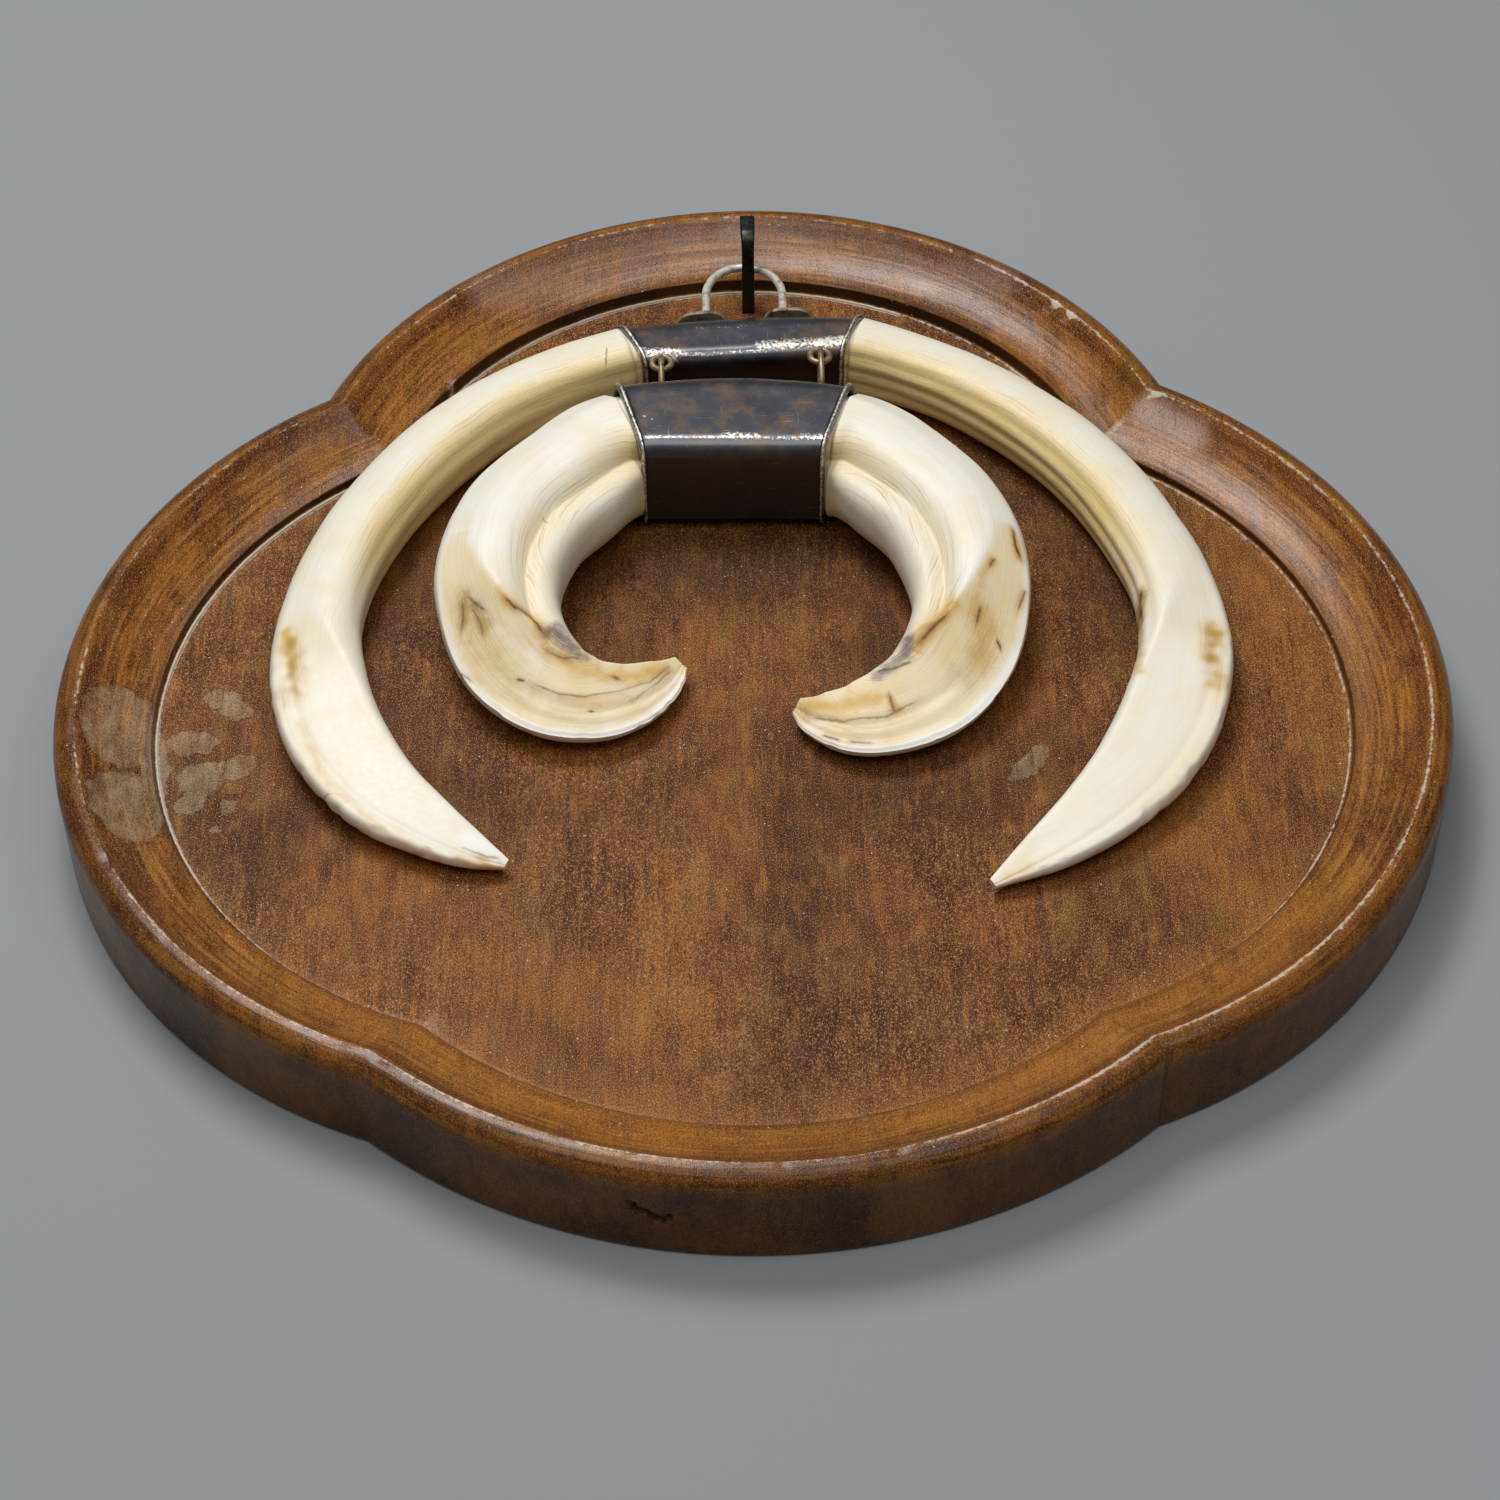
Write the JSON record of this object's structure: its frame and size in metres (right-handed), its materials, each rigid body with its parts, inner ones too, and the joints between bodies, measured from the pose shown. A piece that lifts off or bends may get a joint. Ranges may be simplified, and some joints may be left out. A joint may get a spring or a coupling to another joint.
{
  "type": "boar tusk trophy plaque",
  "caption": "Moulded quatrefoil wall board with a hook that holds two pairs of boar tusks in dark silver collars, one curled pair linked below the other.",
  "frame": {"origin": "middle of the board's outline, on the flat back that the plaque lies on", "axes": "+Z out of the board's front, +Y to the top of the board where the hook is, +X to the right seen from the front"},
  "size_m": [0.3198, 0.3138, 0.0427],
  "materials": {
    "stained_wood": "stained and waxed hardwood, worn to a satin sheen, with scratches and pale rubbed patches",
    "black_iron": "blackened square iron bar",
    "silver": "silver wire, dulled and lightly tarnished",
    "dark_silver": "silver sheet blackened with age, bright where its edges are rubbed",
    "tusk_ivory": null
  },
  "bodies": {
    "plaque": {"board": "stained_wood", "hook": "black_iron", "hanging_ring": "silver", "outer_collar": "dark_silver", "link_left": "silver", "link_right": "silver", "outer_tusk_left": "tusk_ivory", "outer_tusk_right": "tusk_ivory"},
    "inner_pair": {"inner_collar": "dark_silver", "inner_tusk_left": "tusk_ivory", "inner_tusk_right": "tusk_ivory"}
  },
  "joints": [
    {"name": "inner_pair_lifts", "type": "hinge", "parent": "plaque", "child": "inner_pair", "pos_m": [-0.001, 0.07481, 0.032], "axis": [-0.9991, 0.0435, 0], "range_deg": [0, 35]}
  ]
}
